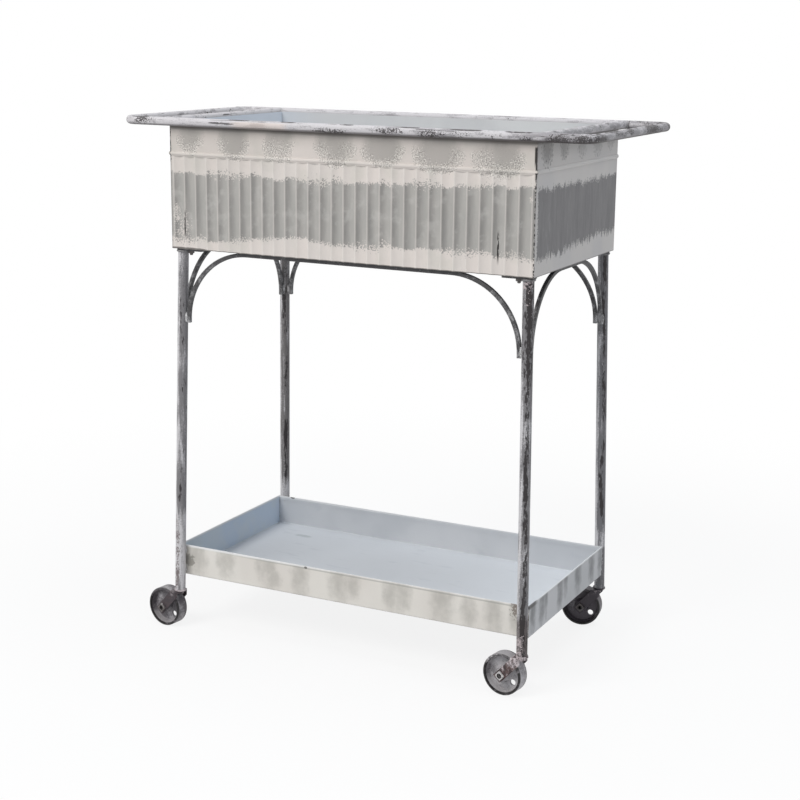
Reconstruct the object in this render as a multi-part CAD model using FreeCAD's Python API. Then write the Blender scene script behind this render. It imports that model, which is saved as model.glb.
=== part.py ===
import FreeCAD, Part
import math
import os

# A wheeled planter cart: a fluted sheet trough on four splayed tube legs with arched braces,
# a shallow tray low between the legs, a handle loop at each end and four swivel casters.
# Millimetres. X runs along the trough, the front faces -Y, Z is up, and the origin is on the
# floor under the middle of the cart. All casters trail towards -X, turned in a little.

# Trough
rim_height = 800.0             # floor to the top of the rim rods
trough_length = 585.0          # outside of one end panel to outside of the other
trough_depth = 322.0           # outside of the front panel to outside of the back panel
trough_height = 195.0          # underside of the trough floor to the top of the rim rods
trough_sheet = 0.8
flute_count = 30               # upright flutes along each long panel
flute_depth = 2.1
flute_ridge_radius = 0.8       # inside of the bend at each ridge between flutes
flute_margin = 5.0             # flat strip at each end of a long panel
flute_to_bead = 1.0            # flat strip between the flutes and the bead
bead_drop = 53.0               # top of the rim rods to the middle of the bead
bead_width = 6.0
bead_rise = 2.0

# Rim tubes and handles, called rods here
rod_diameter = 12.7
rod_wall = 1.2
handle_reach = 77.5            # end panel to the middle of the handle grip
handle_bend = 24.0             # bend radius at the middle of the bar
handle_seam = 3.0              # end rim rod to the weld between long rod and handle

# Legs
leg_diameter = 16.0
leg_wall = 1.5
leg_inset = 12.0               # leg axis in from the trough sides, at the trough floor
foot_spread_x = 11.0           # how far each leg leans out on its way down
foot_spread_y = 12.5

# Corner plates between legs and trough, flush with the outside of the legs
plate_length = 46.0
plate_depth = 22.0
plate_thickness = 3.0
plate_corner = 4.0
stud_diameter = 5.0
stud_hole_clearance = 0.25     # on the radius
stud_offset = 14.0             # stud axis in from the leg axis
stud_end = 3.0                 # thread past the nut
stud_tip = 0.8                 # chamfer at the end of the thread
nut_flats = 8.0
nut_height = 4.0

# Arched braces, square-edged bar on edge between two legs and under the trough floor
brace_thickness = 6.0          # in the plane of the arch
brace_width = 6.0
brace_bend = 108.0             # outside of the bend
brace_tail = 5.0               # straight end beside the leg
brace_edge = 0.8               # rounding along the bar
brace_stand = 0.9              # end of the bar off the leg, closed by the weld

# Tray
tray_base = 86.0               # floor to the underside of the tray
tray_height = 49.0
tray_sheet = 0.8
tray_end_overhang = 7.0        # tray end past the leg axes
tray_hem = 7.0                 # folded strip inside the top edge
tray_bend = 2.0                # inside of the bend between tray floor and walls

# Casters
wheel_diameter = 62.0
tread_width = 21.0
tread_edge = 1.5
rim_thickness = 3.2            # at the open face of the wheel
rim_slope = 3.0                # how much thicker the rim is at the web
web_thickness = 3.0
web_holes = 1
web_hole_diameter = 9.0
web_hole_turn = -38.0          # first hole, degrees up from straight ahead
hub_diameter = 17.0
hub_slope = 3.0                # how much the hub flares towards the web
hub_width = 22.0
hub_clearance = 0.4            # hub to each fork arm
bushing_wall = 1.5
axle_diameter = 7.5
axle_bore = 5.2
axle_head_height = 2.6         # square head and square nut alike
axle_flats = 10.5
caster_trail = 27.0            # swivel axis to axle
caster_turn = 8.0              # degrees that each caster stands turned in
fork_sheet = 2.5
fork_shoulder = 2.0            # rounding between crown and arms
fork_arm = 15.0                # width of an arm
fork_end = 8.5                 # square end of an arm past the axle
crown_back = 11.5              # crown from the swivel axis towards the wheel
crown_front = 6.5
crown_corner = 6.0             # cut off each corner at the free end of the crown
crown_clearance = 1.2          # wheel to the back edge of the crown
socket_length = 30.0           # plug inside the leg
socket_wall = 2.4
socket_lip = 2.0               # lip under the end of the leg
socket_lip_overhang = 1.2      # lip past the leg all round
stem_end_gap = 4.0             # top of the stem below the top of the socket
stem_head_radius = 5.5
stem_head_height = 2.0
stem_tip = 1.0                 # chamfer at the top of the stem

# Fits
weld_gap = 0.1                 # between faces that a weld joins
seat_gap = 0.05                # radius clearance of a pressed or threaded fit
running_gap = 0.08             # radius clearance of a turning fit
swivel_gap = 0.3               # socket lip to fork crown

# Places worked out from the sizes above
half_length = trough_length / 2
half_depth = trough_depth / 2
rod_radius = rod_diameter / 2
rod_bore = rod_radius - rod_wall
rod_z = rim_height - rod_radius
floor_z = rim_height - trough_height
bead_z = rim_height - bead_drop
bead_radius = ((bead_width / 2) ** 2 + bead_rise ** 2) / (2 * bead_rise)
flute_top = bead_z - bead_width / 2 - flute_to_bead
long_rod_y = half_depth + rod_radius + weld_gap
end_rod_x = half_length + rod_radius + weld_gap
seam_x = end_rod_x + rod_radius + handle_seam
grip_x = half_length + handle_reach
leg_radius = leg_diameter / 2
leg_bore_radius = leg_radius - leg_wall
wheel_radius = wheel_diameter / 2
axle_z = wheel_radius
crown_reach = min(wheel_radius, abs(caster_trail - crown_back))
crown_bottom = axle_z + math.sqrt(wheel_radius ** 2 - crown_reach ** 2) + crown_clearance
crown_top = crown_bottom + fork_sheet
arm_run = caster_trail - crown_back
arm_rise = crown_bottom - axle_z
arm_slope = math.atan2(arm_rise, arm_run) - math.asin(fork_arm / 2 / math.hypot(arm_run, arm_rise))
lip_bottom = crown_top + swivel_gap
leg_end = lip_bottom + socket_lip
fork_inside = hub_width / 2 + hub_clearance
fork_outside = fork_inside + fork_sheet
socket_radius = leg_bore_radius - seat_gap
stem_radius = socket_radius - socket_wall
axle_radius = axle_diameter / 2
bushing_bore = axle_radius + running_gap
bushing_radius = bushing_bore + bushing_wall
tray_top = tray_base + tray_height
brace_foot = floor_z - brace_bend - brace_tail

UP = FreeCAD.Vector(0, 0, 1)
ORIGIN = FreeCAD.Vector(0, 0, 0)
SIDES = {"left": -1, "right": 1}
DEPTHS = {"front": -1, "back": 1}


def at(x, y, z):
    return FreeCAD.Vector(x, y, z)


def line(start, end):
    return Part.LineSegment(start, end).toShape()


def arc(start, middle, end):
    return Part.Arc(start, middle, end).toShape()


def swept(edges, direction):
    wire = Part.Wire(Part.__sortEdges__(edges))
    return Part.Face(wire).extrude(direction)


def box(low, high):
    return Part.makeBox(high.x - low.x, high.y - low.y, high.z - low.z, low)


def bar(start, end, radius):
    return Part.makeCylinder(radius, start.distanceToPoint(end), start, end - start)


def tube(start, end, radius, bore):
    return bar(start, end, radius).cut(bar(start, end, bore))


def prism(sides, flats, height, base, direction, turn):
    # A nut or bolt head, with one flat square to the angle given
    points = []
    for corner in range(sides + 1):
        angle = turn + math.pi * (2 * corner + 1) / sides
        reach = flats / 2 / math.cos(math.pi / sides)
        points.append(at(reach * math.cos(angle), reach * math.sin(angle), 0))
    shape = Part.Face(Part.makePolygon(points)).extrude(at(0, 0, height))
    shape.Placement = FreeCAD.Placement(base, FreeCAD.Rotation(UP, direction))
    return shape


def turned(shape, degrees):
    copy = shape.copy()
    copy.rotate(ORIGIN, UP, degrees)
    return copy


def save(name, shape):
    shape.exportStep("parts/" + name + ".step")


# Trough panels. Each is drawn facing -Y and then turned to its own side.

def bead_points(distance, inset, x):
    face_y = -distance + inset
    half = math.sqrt((bead_radius - inset) ** 2 - (inset + bead_rise - bead_radius) ** 2)
    crown = at(x, face_y - bead_rise, bead_z)
    return at(x, face_y, bead_z - half), crown, at(x, face_y, bead_z + half)


def beaded_sheet(length, distance, low):
    x = -length / 2
    back_y = -distance + trough_sheet
    low_out, mid_out, high_out = bead_points(distance, 0, x)
    low_in, mid_in, high_in = bead_points(distance, trough_sheet, x)
    edges = [
        line(at(x, -distance, low), low_out),
        arc(low_out, mid_out, high_out),
        line(high_out, at(x, -distance, rod_z)),
        line(at(x, -distance, rod_z), at(x, back_y, rod_z)),
        line(at(x, back_y, rod_z), high_in),
        arc(high_in, mid_in, low_in),
        line(low_in, at(x, back_y, low)),
        line(at(x, back_y, low), at(x, -distance, low)),
    ]
    return swept(edges, at(length, 0, 0))


def bead_slice(distance, x):
    low, mid, high = bead_points(distance, 0, x)
    return Part.Face(Part.Wire([arc(low, mid, high), line(high, low)]))


def flute_face(inset, z, end):
    pitch = (trough_length - 2 * flute_margin) / flute_count
    ridge = flute_ridge_radius + trough_sheet
    both = ((pitch / 2) ** 2 + flute_depth ** 2) / (2 * flute_depth)
    spread = math.atan2(pitch / 2, both - flute_depth)
    first = -half_length + flute_margin
    face_y = -half_depth + inset
    crest = 1.5 * math.pi
    valley = 0.5 * math.pi

    def ridge_arc(index, start, end):
        centre = at(first + index * pitch, -half_depth + ridge, z)
        circle = Part.Circle(centre, UP, ridge - inset)
        return Part.ArcOfCircle(circle, start, end).toShape()

    def flute_arc(index):
        centre = at(first + (index + 0.5) * pitch, -half_depth + flute_depth - both + ridge, z)
        circle = Part.Circle(centre, UP, both - ridge + inset)
        return Part.ArcOfCircle(circle, valley - spread, valley + spread).toShape()

    edges = [line(at(-end, face_y, z), at(first, face_y, z))]
    edges.append(ridge_arc(0, crest, crest + spread))
    for index in range(flute_count):
        edges.append(flute_arc(index))
        if index:
            edges.append(ridge_arc(index, crest - spread, crest + spread))
    edges.append(ridge_arc(flute_count, crest - spread, crest))
    edges.append(line(at(-first, face_y, z), at(end, face_y, z)))
    return edges


def long_panel():
    ends = []
    for x in (-half_length, half_length):
        ends.append(line(at(x, -half_depth, floor_z), at(x, -half_depth + trough_sheet, floor_z)))
    faces = flute_face(0, floor_z, half_length) + flute_face(trough_sheet, floor_z, half_length)
    fluted = swept(faces + ends, at(0, 0, flute_top - floor_z))
    flute_end = half_length - flute_margin
    shelf = box(at(-flute_end, -half_depth, flute_top),
                at(flute_end, -half_depth + flute_depth + trough_sheet, flute_top + trough_sheet))
    pieces = [shelf, beaded_sheet(trough_length, half_depth, flute_top)]
    for x in (-half_length, half_length):
        corner = at(x, -half_depth, bead_z)
        pieces.append(bead_slice(half_depth, x).revolve(corner, UP, math.copysign(90, x)))
    return fluted.fuse(pieces).removeSplitter()


def end_panel():
    inside = trough_depth - 2 * trough_sheet
    panel = beaded_sheet(inside, half_length, floor_z)
    caps = []
    for x in (-half_depth, inside / 2):
        caps.append(bead_slice(half_length, x).extrude(at(trough_sheet, 0, 0)))
    return panel.fuse(caps).removeSplitter()


def trough_floor():
    # Cut to the flutes, so that it fits inside all four panels
    inset = trough_sheet + weld_gap
    end = half_length - inset
    front = flute_face(inset, floor_z, end)
    back = [turned(edge, 180) for edge in front]
    sides = []
    for x in (-end, end):
        sides.append(line(at(x, inset - half_depth, floor_z), at(x, half_depth - inset, floor_z)))
    return swept(front + back + sides, at(0, 0, trough_sheet))


# Rim rods and handles

def long_rod(side):
    y = side * long_rod_y
    return tube(at(-seam_x, y, rod_z), at(seam_x, y, rod_z), rod_radius, rod_bore)


def end_rod(side):
    x = side * end_rod_x
    rod = tube(at(x, -long_rod_y, rod_z), at(x, long_rod_y, rod_z), rod_radius, rod_bore)
    coped = rod_radius + weld_gap
    for depth in (-1, 1):
        y = depth * long_rod_y
        rod = rod.cut(bar(at(-seam_x, y, rod_z), at(seam_x, y, rod_z), coped))
    return rod


def handle(side):
    bend_x = grip_x - handle_bend
    bend_y = long_rod_y - handle_bend
    chord = handle_bend * math.sqrt(0.5)
    corner_x = bend_x + chord
    corner_y = bend_y + chord
    path = Part.Wire([
        line(at(seam_x, -long_rod_y, rod_z), at(bend_x, -long_rod_y, rod_z)),
        arc(at(bend_x, -long_rod_y, rod_z), at(corner_x, -corner_y, rod_z), at(grip_x, -bend_y, rod_z)),
        line(at(grip_x, -bend_y, rod_z), at(grip_x, bend_y, rod_z)),
        arc(at(grip_x, bend_y, rod_z), at(corner_x, corner_y, rod_z), at(bend_x, long_rod_y, rod_z)),
        line(at(bend_x, long_rod_y, rod_z), at(seam_x, long_rod_y, rod_z)),
    ])

    def filled(radius):
        circle = Part.Circle(at(seam_x, -long_rod_y, rod_z), at(1, 0, 0), radius)
        return path.makePipeShell([Part.Wire([circle.toShape()])], True, False)

    return turned(filled(rod_radius).cut(filled(rod_bore)), 0 if side > 0 else 180)


# Legs, corner plates and braces

def leg_axis(side, depth, z):
    share = (floor_z - z) / (floor_z - leg_end)
    x = half_length - leg_inset + share * foot_spread_x
    y = half_depth - leg_inset + share * foot_spread_y
    return at(side * x, depth * y, z)


def leaning_bar(side, depth, radius, low, high):
    # A round bar on the leg's axis, cut level at both ends
    spare = leg_diameter
    bottom = leg_axis(side, depth, low - spare)
    top = leg_axis(side, depth, high + spare)
    middle = (bottom + top) * 0.5
    room = at(leg_diameter + foot_spread_x, leg_diameter + foot_spread_y, 0)
    slab = box(at(middle.x, middle.y, low) - room, at(middle.x, middle.y, high) + room)
    return bar(bottom, top, radius).common(slab)


def leg(side, depth):
    top = floor_z - plate_thickness
    outside = leaning_bar(side, depth, leg_radius, leg_end, top)
    return outside.cut(leaning_bar(side, depth, leg_bore_radius, leg_end, top))


def stud_place(side, depth):
    axis = leg_axis(side, depth, floor_z)
    return at(axis.x - side * stud_offset, axis.y, floor_z)


def stud_places():
    return [stud_place(side, depth) for side in (-1, 1) for depth in (-1, 1)]


def corner_plate(side, depth):
    axis = leg_axis(side, depth, floor_z)
    outer = at(axis.x + side * leg_radius, axis.y + depth * leg_radius, floor_z)
    inner = at(outer.x - side * plate_length, outer.y - depth * plate_depth, floor_z)
    plate = box(at(min(outer.x, inner.x), min(outer.y, inner.y), floor_z - plate_thickness),
                at(max(outer.x, inner.x), max(outer.y, inner.y), floor_z))
    upright = [edge for edge in plate.Edges if abs(edge.tangentAt(edge.FirstParameter).z) > 0.5]
    plate = plate.makeFillet(plate_corner, upright)
    place = stud_place(side, depth)
    return plate.cut(bar(place - at(0, 0, plate_thickness), place, stud_diameter / 2 + stud_hole_clearance))


def plate_stud(place):
    # Welded under the trough floor
    bottom = place - at(0, 0, plate_thickness + nut_height + stud_end)
    stud = bar(bottom, place, stud_diameter / 2)
    tip = [edge for edge in stud.Edges if edge.BoundBox.ZMax < bottom.z + weld_gap]
    return stud.makeChamfer(min(stud_tip, stud_diameter / 2 - seat_gap), tip)


def plate_nut(place):
    seat = place - at(0, 0, plate_thickness)
    base = seat - at(0, 0, nut_height)
    nut = prism(6, nut_flats, nut_height, base, UP, 0)
    return nut.cut(bar(base, seat, stud_diameter / 2 + seat_gap))


def brace(half_span, distance):
    # Drawn along X at -Y, for the front
    bend_x = half_span - brace_bend
    bend_z = floor_z - brace_bend
    y = -distance - brace_width / 2

    def arch(inset):
        radius = brace_bend - inset
        reach = radius * math.sqrt(0.5)
        edges = []
        for side in (-1, 1):
            x = side * bend_x
            outer = at(x + side * radius, y, bend_z)
            top = at(x, y, bend_z + radius)
            edges.append(line(outer - at(0, 0, brace_tail), outer))
            edges.append(arc(outer, at(x + side * reach, y, bend_z + reach), top))
        edges.append(line(at(-bend_x, y, floor_z - inset), at(bend_x, y, floor_z - inset)))
        return edges

    feet = []
    for side in (-1, 1):
        foot = at(side * half_span, y, brace_foot)
        feet.append(line(foot, foot - at(side * brace_thickness, 0, 0)))
    shape = swept(arch(0) + arch(brace_thickness) + feet, at(0, brace_width, 0))
    along = []
    for edge in shape.Edges:
        middle = edge.valueAt((edge.FirstParameter + edge.LastParameter) / 2)
        if abs(abs(middle.y + distance) - brace_width / 2) < weld_gap and middle.z > brace_foot + weld_gap:
            along.append(edge)
    return shape.makeFillet(brace_edge, along)


# Tray

def tray():
    corner = leg_axis(1, 1, tray_top)
    half_x = corner.x + tray_end_overhang
    half_y = corner.y - leg_radius - weld_gap
    outside = box(at(-half_x, -half_y, tray_base), at(half_x, half_y, tray_top))
    inside = box(at(tray_sheet - half_x, tray_sheet - half_y, tray_base + tray_sheet),
                 at(half_x - tray_sheet, half_y - tray_sheet, tray_top))
    rounded = []
    for shape, radius in ((outside, tray_bend + tray_sheet), (inside, tray_bend)):
        level = [edge for edge in shape.Edges if edge.BoundBox.ZMax < tray_base + 2 * tray_sheet]
        rounded.append(shape.makeFillet(radius, level))
    fold = 2 * tray_sheet
    hem = box(at(tray_sheet - half_x, tray_sheet - half_y, tray_top - tray_hem),
              at(half_x - tray_sheet, half_y - tray_sheet, tray_top))
    hem = hem.cut(box(at(fold - half_x, fold - half_y, tray_base),
                      at(half_x - fold, half_y - fold, tray_top)))
    return rounded[0].cut(rounded[1]).fuse(hem).removeSplitter()


# Casters, drawn with the swivel axis on the Z axis and the wheel straight behind it

def on_arm(along, across):
    x = -caster_trail + along * math.cos(arm_slope) - across * math.sin(arm_slope)
    z = axle_z + along * math.sin(arm_slope) + across * math.cos(arm_slope)
    return at(x, -fork_outside, z)


def fork():
    y = -fork_outside
    half = fork_arm / 2
    to_front = (crown_front + caster_trail - half * math.sin(arm_slope)) / math.cos(arm_slope)
    to_crown = (arm_rise + half * math.cos(arm_slope)) / math.sin(arm_slope)
    front_low = on_arm(min(to_front, to_crown), -half)
    tail = on_arm(-fork_end, half)
    outline = Part.makePolygon([
        tail,
        at(-crown_back, y, crown_bottom),
        at(-crown_back, y, crown_top),
        at(front_low.x, y, crown_top),
        front_low,
        on_arm(-fork_end, -half),
        tail,
    ])
    arm = Part.Face(outline).extrude(at(0, fork_sheet, 0))
    crown = box(at(-crown_back, y, crown_bottom), at(front_low.x, -y, crown_top))
    shape = crown.fuse([arm, turned_over(arm)]).removeSplitter()
    shoulders = []
    for edge in shape.Edges:
        middle = edge.CenterOfMass
        if abs(abs(middle.y) - fork_outside) < weld_gap and abs(middle.z - crown_top) < weld_gap:
            shoulders.append(edge)
    shape = shape.makeFillet(min(fork_shoulder, fork_sheet - seat_gap), shoulders)
    stem_hole = bar(at(0, 0, crown_bottom), at(0, 0, crown_top), stem_radius + seat_gap)
    axle_hole = bar(on_axle(-fork_outside), on_axle(fork_outside), axle_radius + seat_gap)
    corners = []
    for side in (-1, 1):
        corner = at(front_low.x, side * fork_outside, 0)
        across = at(0, side * crown_corner, 0)
        points = [corner, corner - at(crown_corner, 0, 0), corner - across, corner]
        corners.append(Part.Face(Part.makePolygon(points)).extrude(at(0, 0, crown_top + fork_sheet)))
    return shape.cut([stem_hole, axle_hole] + corners)


def turned_over(arm):
    return arm.mirror(ORIGIN, at(0, 1, 0))


def stem():
    top = leg_end + socket_length - stem_end_gap
    pin = bar(at(0, 0, crown_bottom - stem_head_height), at(0, 0, top), stem_radius)
    head = Part.makeCylinder(stem_head_radius, stem_head_height, at(0, 0, crown_bottom - stem_head_height))
    shape = pin.fuse(head).removeSplitter()
    tip = [edge for edge in shape.Edges if abs(edge.BoundBox.ZMin - top) < weld_gap]
    return shape.makeChamfer(min(stem_tip, stem_radius - seat_gap), tip)


def on_axle(y):
    return at(-caster_trail, y, axle_z)


def axle():
    end = fork_outside + axle_head_height
    shank = bar(on_axle(-end), on_axle(fork_outside), axle_radius)
    head = prism(4, axle_flats, axle_head_height, on_axle(fork_outside), at(0, 1, 0), -arm_slope)
    bore = bar(on_axle(-end), on_axle(end), axle_bore / 2)
    return shank.fuse(head).removeSplitter().cut(bore)


def axle_nut():
    seat = on_axle(-fork_outside)
    face = on_axle(-fork_outside - axle_head_height)
    nut = prism(4, axle_flats, axle_head_height, seat, at(0, -1, 0), arm_slope)
    return nut.cut(bar(seat, face, axle_radius + seat_gap))


def bushing():
    return tube(on_axle(-hub_width / 2), on_axle(hub_width / 2), bushing_radius, bushing_bore)


def wheel():
    hub_radius = hub_diameter / 2
    rim_inside = wheel_radius - rim_thickness
    web_inside = hub_radius + hub_slope
    web_outside = rim_inside - rim_slope
    side = [
        (bushing_radius + seat_gap, hub_width / 2),
        (hub_radius, hub_width / 2),
        (web_inside, web_thickness / 2),
        (web_outside, web_thickness / 2),
        (rim_inside, tread_width / 2),
        (wheel_radius, tread_width / 2),
    ]
    points = [on_axle(-half) + at(0, 0, radius) for radius, half in side]
    points += [on_axle(half) + at(0, 0, radius) for radius, half in reversed(side)]
    section = Part.Face(Part.makePolygon(points + points[:1]))
    shape = section.revolve(on_axle(0), at(0, 1, 0), 360)
    outer = [edge for edge in shape.Edges if abs(edge.BoundBox.ZMax - 2 * wheel_radius) < weld_gap]
    rounded = [edge for edge in outer if edge.BoundBox.YLength < tread_edge]
    shape = shape.makeFillet(tread_edge, rounded)
    ring = (web_inside + web_outside) / 2
    holes = []
    for index in range(web_holes):
        angle = math.radians(web_hole_turn) + 2 * math.pi * index / web_holes
        offset = at(ring * math.cos(angle), 0, ring * math.sin(angle))
        holes.append(bar(on_axle(-web_thickness) + offset, on_axle(web_thickness) + offset,
                         web_hole_diameter / 2))
    return shape.cut(holes)


def stem_socket(side, depth):
    foot = leg_axis(side, depth, leg_end)
    plug = leaning_bar(side, depth, socket_radius, leg_end, leg_end + socket_length)
    lip = Part.makeCylinder(leg_radius + socket_lip_overhang, socket_lip, at(foot.x, foot.y, lip_bottom))
    bore = bar(at(foot.x, foot.y, lip_bottom), at(foot.x, foot.y, leg_end + socket_length),
               stem_radius + running_gap)
    return plug.fuse(lip).removeSplitter().cut(bore)


def save_caster(name, side, depth):
    foot = leg_axis(side, depth, leg_end)
    pieces = {
        "caster_fork": fork(),
        "swivel_stem": stem(),
        "axle_bolt": axle(),
        "axle_nut": axle_nut(),
        "wheel_bushing": bushing(),
        "wheel": wheel(),
    }
    for kind, shape in pieces.items():
        stood = turned(shape, depth * caster_turn)
        save(kind + "_" + name, stood.translated(at(foot.x, foot.y, 0)))
    save("stem_socket_" + name, stem_socket(side, depth))


def build():
    os.makedirs("parts", exist_ok=True)
    front = long_panel()
    right = turned(end_panel(), 90)
    save("trough_front_panel", front)
    save("trough_back_panel", turned(front, 180))
    save("trough_right_panel", right)
    save("trough_left_panel", turned(right, 180))
    save("trough_floor", trough_floor())
    foot = leg_axis(1, 1, brace_foot)
    across = brace(foot.x - leg_radius - brace_stand, foot.y)
    along = turned(brace(foot.y - leg_radius - brace_stand, foot.x), 90)
    for name, depth in DEPTHS.items():
        save("rim_rod_" + name, long_rod(depth))
        save("brace_" + name, turned(across, 0 if depth < 0 else 180))
    for name, side in SIDES.items():
        save("rim_rod_" + name, end_rod(side))
        save("handle_" + name, handle(side))
        save("brace_" + name, turned(along, 0 if side > 0 else 180))
    for depth_name, depth in DEPTHS.items():
        for side_name, side in SIDES.items():
            corner = depth_name + "_" + side_name
            save("leg_" + corner, leg(side, depth))
            save("corner_plate_" + corner, corner_plate(side, depth))
            save_caster(corner, side, depth)
    save("plate_studs", Part.makeCompound([plate_stud(place) for place in stud_places()]))
    save("plate_nuts", Part.makeCompound([plate_nut(place) for place in stud_places()]))
    save("tray", tray())


build()
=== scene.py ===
import math
import random

import bmesh
import bpy
from mathutils import Matrix, Vector


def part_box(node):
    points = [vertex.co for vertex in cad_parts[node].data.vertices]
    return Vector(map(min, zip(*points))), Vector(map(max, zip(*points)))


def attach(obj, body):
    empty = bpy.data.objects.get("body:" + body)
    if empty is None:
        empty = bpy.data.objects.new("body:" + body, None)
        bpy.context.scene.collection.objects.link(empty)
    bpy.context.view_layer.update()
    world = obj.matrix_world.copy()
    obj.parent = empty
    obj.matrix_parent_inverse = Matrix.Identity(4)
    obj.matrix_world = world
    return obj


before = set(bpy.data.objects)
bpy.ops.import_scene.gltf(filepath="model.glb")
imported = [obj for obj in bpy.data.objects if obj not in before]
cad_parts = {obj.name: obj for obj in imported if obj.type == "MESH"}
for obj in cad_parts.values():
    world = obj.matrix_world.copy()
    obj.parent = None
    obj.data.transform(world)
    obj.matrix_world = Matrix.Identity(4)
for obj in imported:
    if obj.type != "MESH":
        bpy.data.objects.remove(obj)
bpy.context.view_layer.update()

# The planter cart's looks: chipped paint, whitewash over iron, and the welds that hold it together.
# Lengths are metres in the part's frame: +X towards the right handle, -Y towards the front, +Z up.
# In a finish, the numbers of a fade are where a mark ends and where it is full, and the one beside a
# cloud is how fine it is.

CORNERS = {"front_left": (-1, -1), "front_right": (1, -1), "back_left": (-1, 1), "back_right": (1, 1)}

# Places on the solids that the paint and the welds follow.
rod_low, rod_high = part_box("rim_rod_front")
end_rod_low, end_rod_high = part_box("rim_rod_right")
tray_low, tray_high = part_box("tray")
brace_low, brace_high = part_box("brace_front")
side_brace_low, side_brace_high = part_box("brace_right")
SHEET = 0.0008
ROD_RADIUS = (rod_high.z - rod_low.z) / 2
ROD_Z = rod_high.z - ROD_RADIUS
ROD_BOTTOM = ROD_Z - ROD_RADIUS
LONG_ROD_Y = -rod_low.y - ROD_RADIUS
END_ROD_X = (end_rod_low.x + end_rod_high.x) / 2
HANDLE_SEAM_X = rod_high.x
PLATE_INSET = 0.004
HALF_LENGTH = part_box("corner_plate_front_right")[1].x + PLATE_INSET
HALF_DEPTH = 0.161
FLOOR_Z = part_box("trough_floor")[0].z
BEAD_Z = 0.747
FLUTES = 30
SIDES_APART = 40
FLUTE_TOP = 0.743
FLUTE_START = HALF_LENGTH - 0.005
FLUTE_PITCH = 2 * FLUTE_START / FLUTES
WORN_RIDGES = (-0.2690, 0.2385)
LEG_TOP = Vector((0.2805, 0.149, FLOOR_Z))
LEG_FOOT = Vector((0.2915, 0.1615, 0.06385))
LEG_RADIUS = 0.008
PLATE_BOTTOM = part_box("corner_plate_front_right")[0].z
BRACE_FOOT_Z = brace_low.z
BRACE_HALF_SPAN = brace_high.x
BRACE_HALF_DEPTH = side_brace_high.y
BRACE_FRONT_Y = -(brace_low.y + brace_high.y) / 2
BRACE_SIDE_X = (side_brace_low.x + side_brace_high.x) / 2
TRAY_HALF_DEPTH = tray_high.y
TRAY_FLOOR_Z = tray_low.z + SHEET
TRAY_TOP_Z = tray_high.z
TRAY_WALL_Z = 0.116
SCORCH_X = 0.2825
AXLE_Z = 0.031
CASTER_TRAIL = 0.027
CASTER_TURN = math.radians(8)
ACROSS_MIDDLE = (-0.05, 0.05)

MILLIMETRES = 1000
NO_DAB = -9

# Where the brush touched, in millimetres: middle along the face, half width, middle height, half height.
LONG_DABS = [(-256, 21, 776, 22), (-183, 23, 773, 25), (-106, 23, 772, 26), (-14, 26, 770, 26),
             (63, 26, 768, 19), (146, 30, 769, 25), (236, 30, 763, 24)]
END_DABS = [(-124, 18, 774, 19), (-60, 15, 775, 16), (10, 16, 776, 18), (74, 18, 776, 18),
            (130, 14, 776, 16)]
TRAY_LONG_DABS = [(-281, 12, 110, 30), (-266, 17, 118, 30), (-212, 15, 117, 24), (-140, 15, 122, 26),
                  (-126, 13, 102, 15), (-79, 14, 112, 34), (-11, 16, 114, 34), (14, 11, 118, 20),
                  (76, 13, 116, 24), (95, 13, 117, 30), (160, 17, 114, 40), (203, 12, 105, 22),
                  (243, 13, 114, 32), (275, 8, 118, 26)]
TRAY_END_DABS = [(-137, 10, 118, 40), (-103, 10, 121, 34), (-87, 6, 124, 24), (-30, 11, 122, 40),
                 (-8, 8, 130, 22), (45, 12, 124, 36), (104, 11, 118, 36), (143, 9, 112, 34)]
TRAY_FLOOR_DABS = [(-221, 18, 102, 7)]
TRAY_NICKS = [(-68.5, 3.2, 132.5, 2.2)]
TRAY_BACK_NICKS = [(-269, 5, 135, 2.5)]
RUBBED_DABS = [(-272, 17, 636, 26), (-284, 6, 655, 20), (286, 4, 710, 5), (262, 22, 630, 12)]
FRONT_ROD_DABS = [(-333, 19, 795, 6), (-13, 34, 789, 6), (78, 32, 794, 5), (141, 24, 792, 7),
                  (326, 20, 790, 9), (358, 14, 790, 10)]
THIN_ROD_DABS = [(184, 26, 793, 6), (238, 22, 792, 6), (281, 22, 791, 6)]
GRIP_DABS = [(-145, 26, 790, 9), (70, 34, 793, 14), (152, 14, 793, 12)]

# Scratches on the round bars. Their height is how far the surface faces up, in thousandths.
GRIP_SCRATCHES = [(-95, 32, 920, 160)]
ROD_SCRATCHES = [(-338, 18, 920, 160), (-203, 15, 150, 240), (-184, 13, 50, 200), (-166, 20, 930, 160),
                 (-85, 15, 930, 160), (10, 12, 930, 140), (108, 18, 920, 160), (193, 26, 900, 220),
                 (269, 22, 900, 220)]


def paint(red, green, blue):
    """A screen colour as the linear values that shaders use."""
    levels = [c / 255 for c in (red, green, blue)]
    return tuple(c / 12.92 if c < 0.04045 else ((c + 0.055) / 1.055) ** 2.4 for c in levels) + (1.0,)


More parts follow.
